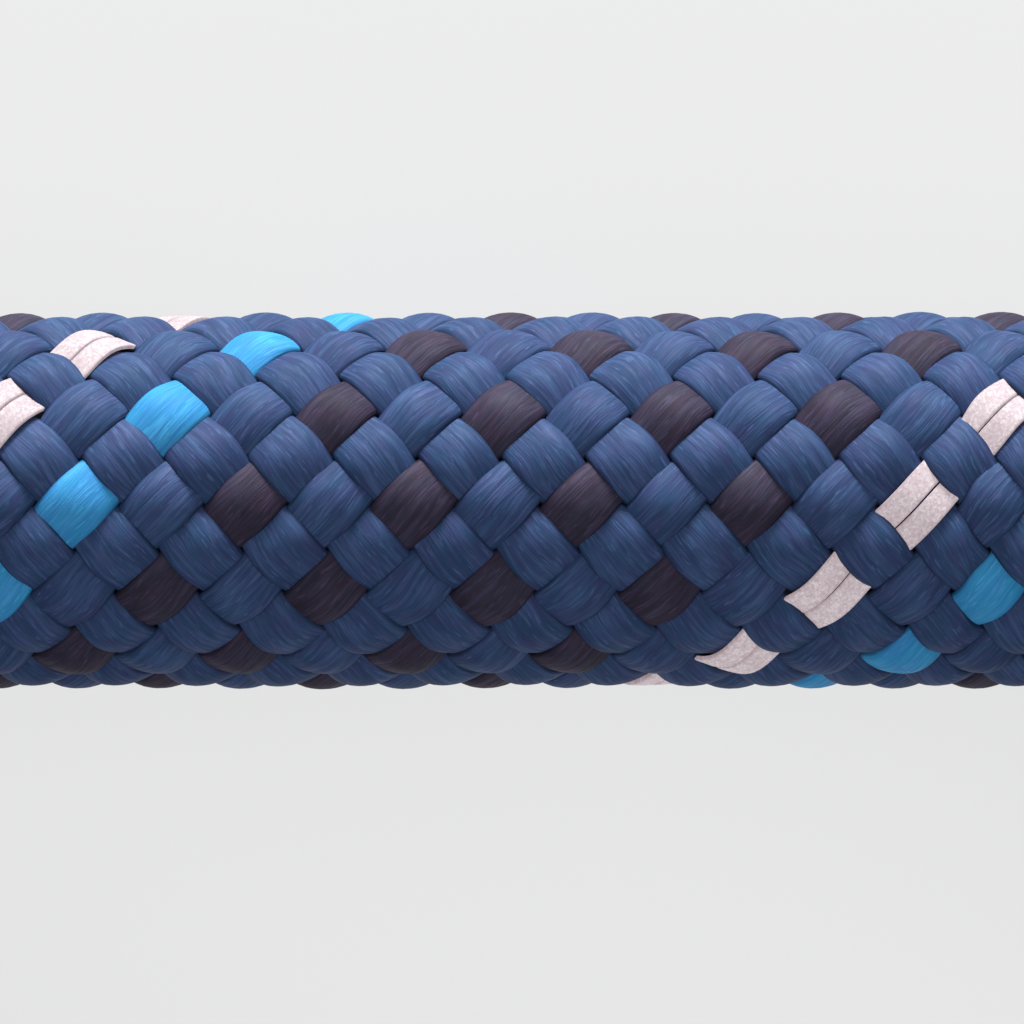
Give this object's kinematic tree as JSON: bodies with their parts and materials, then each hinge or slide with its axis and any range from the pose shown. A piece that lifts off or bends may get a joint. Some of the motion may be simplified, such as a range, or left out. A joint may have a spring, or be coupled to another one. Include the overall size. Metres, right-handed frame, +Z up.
{
  "type": "lead rope",
  "caption": "Round braided lead rope with a crimped loop through a swivel bolt snap, laid straight and then in a flat coil.",
  "frame": {"origin": "centre of the overall footprint, on the surface that the rope lies on", "axes": "+X from the snap's hook towards the coil, along the straight run; +Y from the run towards the coil's middle; +Z up"},
  "size_m": [0.3657, 0.2107, 0.03],
  "materials": {
    "rope_cover": "matte",
    "rope_core": "matte",
    "melted_end": "satin",
    "whipping_twine": "matte",
    "ferrule_metal": "satin",
    "plated_casting": "polished",
    "bolt_steel": "satin",
    "washer_brass": "satin",
    "spring_steel": "satin"
  },
  "bodies": {
    "rope": {"rope_run": "rope_cover", "run_core": "rope_core", "rope_bight": "rope_cover", "rope_coil": "rope_cover", "rope_tail": "rope_cover", "ferrule": "ferrule_metal", "short_end_seal": "melted_end", "tail_whipping": "whipping_twine", "tail_seal": "melted_end"},
    "swivel": {"swivel_eye": "plated_casting", "swivel_washer": "washer_brass"},
    "snap": {"snap_body": "plated_casting", "bolt_spring": "spring_steel"},
    "bolt": {"bolt": "bolt_steel", "thumb_knob": "plated_casting"}
  },
  "joints": [
    {"name": "eye_swing", "type": "hinge", "parent": "rope", "child": "swivel", "pos_m": [-0.0755, -0.0886, 0.015], "axis": [0, 0, 1], "range_deg": [-60, 60]},
    {"name": "snap_swivel", "type": "hinge", "parent": "swivel", "child": "snap", "pos_m": [-0.10787, -0.0886, 0.01274], "axis": [-0.9936, 0, -0.1132], "continuous": true},
    {"name": "bolt_slide", "type": "slide", "parent": "snap", "child": "bolt", "axis": [0.9936, 0, 0.1132], "range_m": [0, 0.015], "stiffness_N_per_m": 200, "springref_m": -0.01, "deforming": ["bolt_spring"]}
  ]
}
